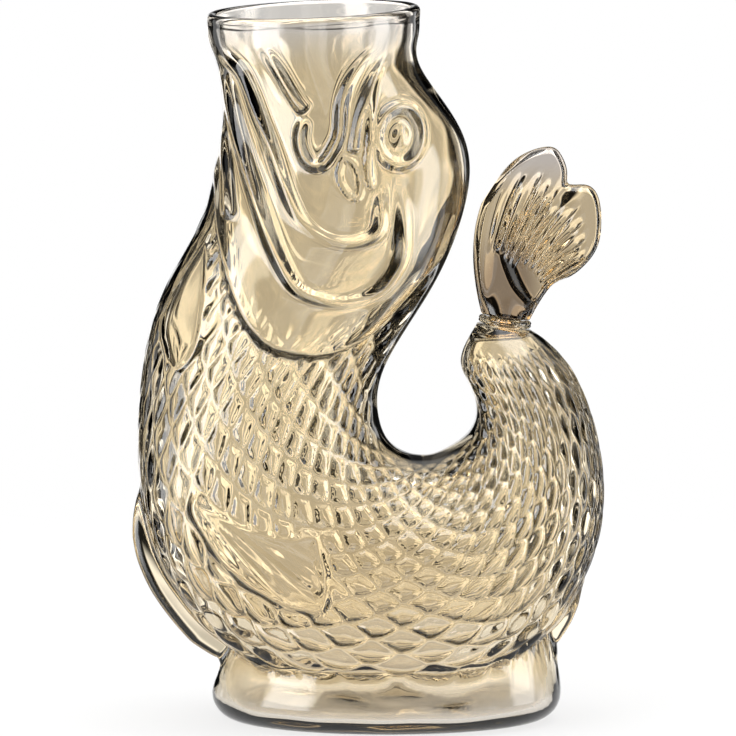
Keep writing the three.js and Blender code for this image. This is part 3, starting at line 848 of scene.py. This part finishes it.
def rounded_lip(inner_edge, outer_edge):
    """Rows of a half round over the rim, from the wall's inside to its outside."""
    lean = math.radians(RIM_LEAN)
    up = np.array([-math.sin(lean), 0, math.cos(lean)])
    middle = (outer_edge + inner_edge) / 2
    arm = (outer_edge - inner_edge) / 2
    high = np.linalg.norm(arm, axis=1, keepdims=True)
    turns = np.linspace(math.pi, 0, LIP_ROWS + 2)[1:-1]
    return np.array([middle + arm * math.cos(turn) + up * high * math.sin(turn) for turn in turns])


def blown_body(material):
    """The hollow fish: inside, lip and outside as one sheet, closed by a fan of faces at each end."""
    outer_shares = even_shares(fine_row[-1], OUTER_ROWS)
    inner_shares = even_shares(fine_row[-1] - INNER_STOPS, INNER_ROWS)
    outer, relief, keel = outer_face(outer_shares)
    inner = inner_face(inner_shares, relief + KEEL_INSIDE * keel, outer_shares)
    rows = np.concatenate([inner[::-1], rounded_lip(inner[0], outer[0]), outer])
    ends = [rows[0].mean(axis=0), rows[-1].mean(axis=0)]
    points = np.concatenate([rows.reshape(-1, 3), ends])
    faces = sheet_faces(len(rows), COLUMNS)
    first_end, last_end = len(points) - 2, len(points) - 1
    last_row = (len(rows) - 1) * COLUMNS
    for j in range(COLUMNS):
        k = (j + 1) % COLUMNS
        faces.append([first_end, k, j])
        faces.append([last_end, last_row + j, last_row + k])
    return add_mesh("blown_body", points, faces, material)


def ring_points(radius, turn, z):
    """Points round the z axis, at the given turns and height."""
    return np.stack([radius * np.cos(turn), radius * np.sin(turn), np.full_like(turn, z)], -1)


def on_root(points):
    """Points given from the middle of the tail root, square to it, in the fish's frame."""
    lean = math.radians(ROOT_LEAN)
    x = ROOT_X + points[..., 0] * math.cos(lean) + points[..., 2] * math.sin(lean)
    z = ROOT_Z - points[..., 0] * math.sin(lean) + points[..., 2] * math.cos(lean)
    return np.stack([x, points[..., 1], z], -1)


def with_back(front):
    """A front half loop of points with its mirror image behind it, as a whole loop."""
    back = front[1:-1][::-1] * np.array([1, -1, 1])
    return np.concatenate([front, back])


def tail_plan(turn, across, along):
    """x and z of the tail's rows of points: bent rays that fan out from the stem to the two-lobed edge."""
    stem_z = np.full_like(turn, COLLAR_HEIGHT + 2 * FUSED_GAP)
    stem = np.stack([-STEM_HALF_WIDTH * np.cos(turn), np.zeros_like(turn), stem_z], -1)
    foot = on_root(stem)[:, [0, 2]]
    edge = seen(TAIL_EDGE, TAIL_LIFT)
    tip = np.stack([spline(edge[:, 0], across), spline(edge[:, 1], across)], -1)
    left, right = seen(TAIL_BENDS, TAIL_LIFT)
    bend = left + (right - left) * across[:, None]
    ease = along[:, None, None]
    return (1 - ease) ** 2 * foot + 2 * ease * (1 - ease) * bend + ease**2 * tip


def tail_depth(plan, turn, across, along):
    """Half the tail's thickness at each point: an oval stem, then a fin with a rounded edge, a roll on its
    left, a dip between the lobes, a thicker palm and ribs."""
    along = along[:, None]
    x, z = plan[..., 0], plan[..., 1]
    outline = np.concatenate([plan[:, 0], plan[-1], plan[::-1, -1]])
    inset, _, _ = distance_to(outline, x, z, WIDE_REACH)
    deep = TAIL_HALF_DEPTH + LEFT_ROLL * bump(across, LEFT_ROLL_AT, ROLL_WIDTH)
    deep = deep - NOTCH_DEPTH * bump(across, NOTCH_AT, ROLL_WIDTH) * smooth(along, *NOTCH_ALONG)
    from_palm, side, _ = distance_to(curve_through(seen(PALM_EDGE, TAIL_LIFT)), x, z, WIDE_REACH)
    palm = smooth(np.where(side > 0, from_palm, -from_palm), *PALM_FLANK)
    deep = deep + PALM_HEIGHT * palm * (1 - smooth(along, *PALM_ENDS))
    ribbed = between(along, *RIBS_ALONG) * between(across, *RIBS_ACROSS)
    crests = np.abs(np.cos(math.pi * TAIL_RIBS * across)) ** RIB_POWER
    deep = deep + RIB_HEIGHT * ribbed * (crests - RIB_BASE)
    stem = STEM_HALF_DEPTH * np.sin(turn)
    deep = stem + (deep * quarter_round(inset / TAIL_ROUND) - stem) * smooth(along, *STEM_TO_FIN)
    deep[-1] = 0
    deep[:, 0] = 0
    deep[:, -1] = 0
    return deep


def fused_tail(material):
    """The solid tail fin: a spigot in the collar, and a fan to a two-lobed edge, ribbed on both faces."""
    turn = np.linspace(0, math.pi, TAIL_COLUMNS)
    across = (1 - np.cos(turn)) / 2
    along = np.sin(np.linspace(0, math.pi / 2, TAIL_ROWS))
    plan = tail_plan(turn, across, along)
    deep = tail_depth(plan, turn, across, along)
    loops = []
    for z in (FUSED_GAP, COLLAR_HEIGHT + FUSED_GAP):
        loops.append(on_root(with_back(ring_points(-SPIGOT_RADIUS, turn, z))))
    for places, half_depths in zip(plan, deep):
        loops.append(with_back(np.stack([places[:, 0], -half_depths, places[:, 1]], -1)))
    around = len(loops[0])
    faces = sheet_faces(len(loops), around)
    faces.append(list(range(around))[::-1])
    return add_mesh("fused_tail", np.concatenate(loops), faces, material)


def fused_collar(material):
    """The ring of glass round the joint, wound in soft beads."""
    inside = SPIGOT_RADIUS + FUSED_GAP
    waist = COLLAR_RADIUS - COLLAR_ROUND - BEAD_SWELL
    top = COLLAR_HEIGHT - COLLAR_EDGE
    profile = [(inside, COLLAR_EDGE)]
    for share in np.linspace(0, 1, COLLAR_STEPS):
        rounding = COLLAR_ROUND * math.sin(math.pi * share) ** COLLAR_ROUND_POWER
        swell = BEAD_SWELL * abs(math.sin(math.pi * COLLAR_BEADS * share)) ** BEAD_POWER
        profile.append((waist + rounding + swell, COLLAR_EDGE + share * (top - COLLAR_EDGE)))
    profile.append((inside, top))
    angle = np.linspace(0, 2 * math.pi, COLLAR_COLUMNS, endpoint=False)
    loops = [on_root(ring_points(radius, angle, FUSED_GAP + z)) for radius, z in profile]
    faces = sheet_faces(len(loops), COLLAR_COLUMNS)
    last = (len(loops) - 1) * COLLAR_COLUMNS
    for j in range(COLLAR_COLUMNS):
        k = (j + 1) % COLLAR_COLUMNS
        faces.append([last + j, last + k, k, j])
    return add_mesh("fused_collar", np.concatenate(loops), faces, material)


def value_node(tree, operation, *values):
    """The result of one operation on plain numbers and other nodes' outputs."""
    node = tree.nodes.new("ShaderNodeMath")
    node.operation = operation
    for socket, value in zip(node.inputs, values):
        if isinstance(value, (int, float)):
            socket.default_value = value
        else:
            tree.links.new(value, socket)
    return node.outputs[0]


def cosine_node(tree, value, times):
    """The cosine of a value times a number."""
    return value_node(tree, "COSINE", value_node(tree, "MULTIPLY", value, times))


def ramp_node(tree, value, low, high, at_low, at_high):
    """A smooth step of a value, from at_low at low to at_high at high."""
    node = tree.nodes.new("ShaderNodeMapRange")
    node.interpolation_type = "SMOOTHSTEP"
    for name, number in zip(("From Min", "From Max", "To Min", "To Max"), (low, high, at_low, at_high)):
        node.inputs[name].default_value = number
    tree.links.new(value, node.inputs["Value"])
    return node.outputs[0]


def noise_node(tree, place, scale):
    """Noise at a place, in spots of about 1 / scale."""
    node = tree.nodes.new("ShaderNodeTexNoise")
    node.inputs["Scale"].default_value = scale
    node.inputs["Detail"].default_value = NOISE_DETAIL
    tree.links.new(place, node.inputs["Vector"])
    return node.outputs["Fac"]


def colour_node(tree, share, first, second):
    """A mix of two colours, where the first may be another node's output."""
    node = tree.nodes.new("ShaderNodeMix")
    node.data_type = "RGBA"
    tree.links.new(share, node.inputs["Factor"])
    if isinstance(first, tuple):
        node.inputs["A"].default_value = (*first, 1)
    else:
        tree.links.new(first, node.inputs["A"])
    node.inputs["B"].default_value = (*second, 1)
    return node.outputs["Result"]


def new_material(name):
    """A material, its node tree and its output node, with nothing joined yet."""
    material = bpy.data.materials.new(name)
    material.use_nodes = True
    tree = material.node_tree
    tree.nodes.clear()
    return material, tree, tree.nodes.new("ShaderNodeOutputMaterial")


def clear_share(tree, place, cloud, heights):
    """How clear the tint has turned, below the first heights and above the second, with a cloudy drift."""
    split = tree.nodes.new("ShaderNodeSeparateXYZ")
    tree.links.new(place, split.inputs[0])
    low, high = heights
    bottom = ramp_node(tree, split.outputs["Z"], *low, 1.0, 0.0)
    top = ramp_node(tree, split.outputs["Z"], *high, 0.0, 1.0)
    share = value_node(tree, "MAXIMUM", top, bottom)
    drift = ramp_node(tree, cloud, *CLOUD_RANGE, -CLOUD_DRIFT, CLOUD_DRIFT)
    return value_node(tree, "ADD", share, drift)


def painted_shade_share(tree, place, middle, reach):
    """How strong the painted shade is, from 1 in its middle to 0 at its reach."""
    around = tree.nodes.new("ShaderNodeMapping")
    around.vector_type = "TEXTURE"
    around.inputs["Location"].default_value = middle
    around.inputs["Scale"].default_value = reach
    tree.links.new(place, around.inputs["Vector"])
    ball = tree.nodes.new("ShaderNodeTexGradient")
    ball.gradient_type = "SPHERICAL"
    tree.links.new(around.outputs["Vector"], ball.inputs["Vector"])
    return ramp_node(tree, ball.outputs["Fac"], 0.0, PAINTED_SHADE_CORE, 0.0, 1.0)


def glass(name, tint, clear, clear_heights, shade_cloud):
    """Glass with a tinted surface that turns clear towards the given heights, uneven as hand-blown glass is,
    and with painted shade: a cloud of the given darker colour, middle and reach."""
    material, tree, out = new_material(name)
    shader = tree.nodes.new("ShaderNodeBsdfPrincipled")
    shader.inputs["IOR"].default_value = GLASS_IOR
    shader.inputs["Transmission Weight"].default_value = 1.0
    place = tree.nodes.new("ShaderNodeTexCoord").outputs["Object"]
    cloud = noise_node(tree, place, CLOUD_SCALE)
    # Painted shade: over its cloud the tint darkens towards the shade colour
    shade_colour, shade_middle, shade_reach = shade_cloud
    tinted = colour_node(tree, clear_share(tree, place, cloud, clear_heights), tint, clear)
    shaded_tint = colour_node(tree, painted_shade_share(tree, place, shade_middle, shade_reach), tinted, shade_colour)
    tree.links.new(shaded_tint, shader.inputs["Base Color"])
    spots = noise_node(tree, place, SPOT_SCALE)
    tree.links.new(ramp_node(tree, spots, *SPOT_RANGE, 0.0, SPOT_ROUGHNESS), shader.inputs["Roughness"])
    waves = tree.nodes.new("ShaderNodeBump")
    waves.inputs["Strength"].default_value = SOFT_WAVE_STRENGTH
    waves.inputs["Distance"].default_value = SOFT_WAVE_HEIGHT
    tree.links.new(cloud, waves.inputs["Height"])
    tree.links.new(waves.outputs["Normal"], shader.inputs["Normal"])
    depth = tree.nodes.new("ShaderNodeVolumeAbsorption")
    depth.inputs["Color"].default_value = (*DEPTH_TINT, 1)
    depth.inputs["Density"].default_value = DEPTH_DENSITY
    tree.links.new(shader.outputs["BSDF"], out.inputs["Surface"])
    tree.links.new(depth.outputs["Volume"], out.inputs["Volume"])
    return material


def floor_white():
    """White that takes the shadow and turns clear away from the carafe."""
    material, tree, out = new_material("floor_white")
    matt = tree.nodes.new("ShaderNodeBsdfDiffuse")
    matt.inputs["Color"].default_value = (FLOOR_COLOUR, FLOOR_COLOUR, FLOOR_COLOUR, 1)
    glow = tree.nodes.new("ShaderNodeEmission")
    glow.inputs["Strength"].default_value = FLOOR_GLOW
    white = tree.nodes.new("ShaderNodeAddShader")
    tree.links.new(matt.outputs[0], white.inputs[0])
    tree.links.new(glow.outputs[0], white.inputs[1])
    place = tree.nodes.new("ShaderNodeNewGeometry")
    distance = tree.nodes.new("ShaderNodeVectorMath")
    distance.operation = "LENGTH"
    tree.links.new(place.outputs["Position"], distance.inputs[0])
    path = tree.nodes.new("ShaderNodeLightPath")
    fade = tree.nodes.new("ShaderNodeMix")
    tree.links.new(path.outputs["Is Camera Ray"], fade.inputs["Factor"])
    for name, distances in (("A", FLOOR_FADE_IN_GLASS), ("B", FLOOR_FADE)):
        share = ramp_node(tree, distance.outputs["Value"], *distances, 0.0, 1.0)
        tree.links.new(share, fade.inputs[name])
    clear = tree.nodes.new("ShaderNodeBsdfTransparent")
    mix = tree.nodes.new("ShaderNodeMixShader")
    tree.links.new(fade.outputs["Result"], mix.inputs[0])
    tree.links.new(white.outputs[0], mix.inputs[1])
    tree.links.new(clear.outputs[0], mix.inputs[2])
    tree.links.new(mix.outputs[0], out.inputs["Surface"])
    return material


def pale_floor():
    """A round floor under the carafe, which fades into the white of the world."""
    turns = np.linspace(0, 2 * math.pi, FLOOR_CORNERS, endpoint=False)
    mesh = bpy.data.meshes.new("floor")
    mesh.from_pydata(ring_points(FLOOR_RADIUS, turns, 0.0).tolist(), [], [list(range(FLOOR_CORNERS))])
    mesh.materials.append(floor_white())
    floor = bpy.data.objects.new("floor", mesh)
    floor.location.z = -FLOOR_DROP
    bpy.context.scene.collection.objects.link(floor)


def panel_level(tree, turn, height):
    """Brightness of the upright panels: dark in the gaps between them, bright at their edges, dimmer in their
    middles, brighter low down and dark above the horizon."""
    shifted = value_node(tree, "ADD", turn, PANEL_SHIFT)
    wave = cosine_node(tree, shifted, LIGHT_PANELS)
    slow = cosine_node(tree, shifted, LIGHT_PANELS / 2)
    uneven = value_node(tree, "MULTIPLY_ADD", slow, PANEL_UNEVEN, wave)
    panels = ramp_node(tree, uneven, *PANEL_RISE, GAP_LEVEL, PANEL_EDGE)
    middles = ramp_node(tree, cosine_node(tree, turn, LIGHT_PANELS), *PANEL_MIDDLE, 0.0, PANEL_EDGE - 1.0)
    panels = value_node(tree, "SUBTRACT", panels, middles)
    low = ramp_node(tree, height, *LOW_HEIGHT, LOW_LEVEL, BACK_LEVEL)
    high = ramp_node(tree, height, *HIGH_HEIGHT, 0.0, BACK_LEVEL - HIGH_LEVEL)
    return value_node(tree, "MULTIPLY", panels, value_node(tree, "SUBTRACT", low, high))


def window_level(tree, turn, height, edges, strength):
    """Brightness of one upright window with soft edges."""
    level = strength
    for value, (starts, full, fades, ends) in ((turn, np.radians(edges)), (height, WINDOW_RISE)):
        comes = ramp_node(tree, value, starts, full, 0.0, 1.0)
        goes = ramp_node(tree, value, fades, ends, 1.0, 0.0)
        level = value_node(tree, "MULTIPLY", level, value_node(tree, "MULTIPLY", comes, goes))
    return level


def studio():
    """White to the camera. To the glass, upright white panels all round with dark gaps between them, a dim
    ceiling with a light in its middle, and two windows."""
    world = bpy.data.worlds.new("studio")
    bpy.context.scene.world = world
    world.use_nodes = True
    tree = world.node_tree
    coords = tree.nodes.new("ShaderNodeTexCoord")
    split = tree.nodes.new("ShaderNodeSeparateXYZ")
    tree.links.new(coords.outputs["Generated"], split.inputs[0])
    turn = value_node(tree, "ARCTAN2", split.outputs["X"], split.outputs["Y"])
    height = split.outputs["Z"]
    levels = [
        panel_level(tree, turn, height),
        ramp_node(tree, height, *CEILING_HEIGHT, 0.0, CEILING_LEVEL),
        ramp_node(tree, height, *TOP_HEIGHT, 0.0, TOP_LEVEL),
    ]
    for *edges, strength in WINDOWS:
        levels.append(window_level(tree, turn, height, edges, strength))
    brightest = tree.nodes.new("ShaderNodeLightPath").outputs["Is Camera Ray"]
    for level in levels:
        brightest = value_node(tree, "MAXIMUM", brightest, level)
    background = tree.nodes["Background"]
    background.inputs["Color"].default_value = (1, 1, 1, 1)
    tree.links.new(brightest, background.inputs["Strength"])


def side_camera():
    """A long lens from far away, square on to the fish's side and a little above it."""
    data = bpy.data.cameras.new("camera")
    data.lens = CAMERA_LENS
    data.sensor_width = CAMERA_SENSOR
    data.clip_end = CAMERA_CLIP_END
    camera = bpy.data.objects.new("camera", data)
    bpy.context.scene.collection.objects.link(camera)
    x, y, z = CAMERA_AIM
    camera.location = (x, y - CAMERA_FAR * math.cos(CAMERA_RISE), z + CAMERA_FAR * math.sin(CAMERA_RISE))
    camera.rotation_euler = (math.pi / 2 - CAMERA_RISE, 0, 0)
    bpy.context.scene.camera = camera


# Both glasses paint shade into their colour: the body on its lower belly, the tail in its stem
amber = glass("amber_glass_clear", AMBER, SMOKE, BODY_CLEAR, BELLY_PAINTED_SHADE)
tail_amber = glass("tail_glass_clear", TAIL_AMBER, LILAC, TAIL_CLEAR, STEM_PAINTED_SHADE)

body = blown_body(amber)
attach(body, "root")
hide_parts("glass_body")

tail = fused_tail(tail_amber)
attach(tail, "root")
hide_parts("tail_fin")

ring = fused_collar(amber)
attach(ring, "root")
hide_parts("tail_collar")

pale_floor()
studio()
side_camera()
bpy.context.scene.view_settings.view_transform = "Standard"
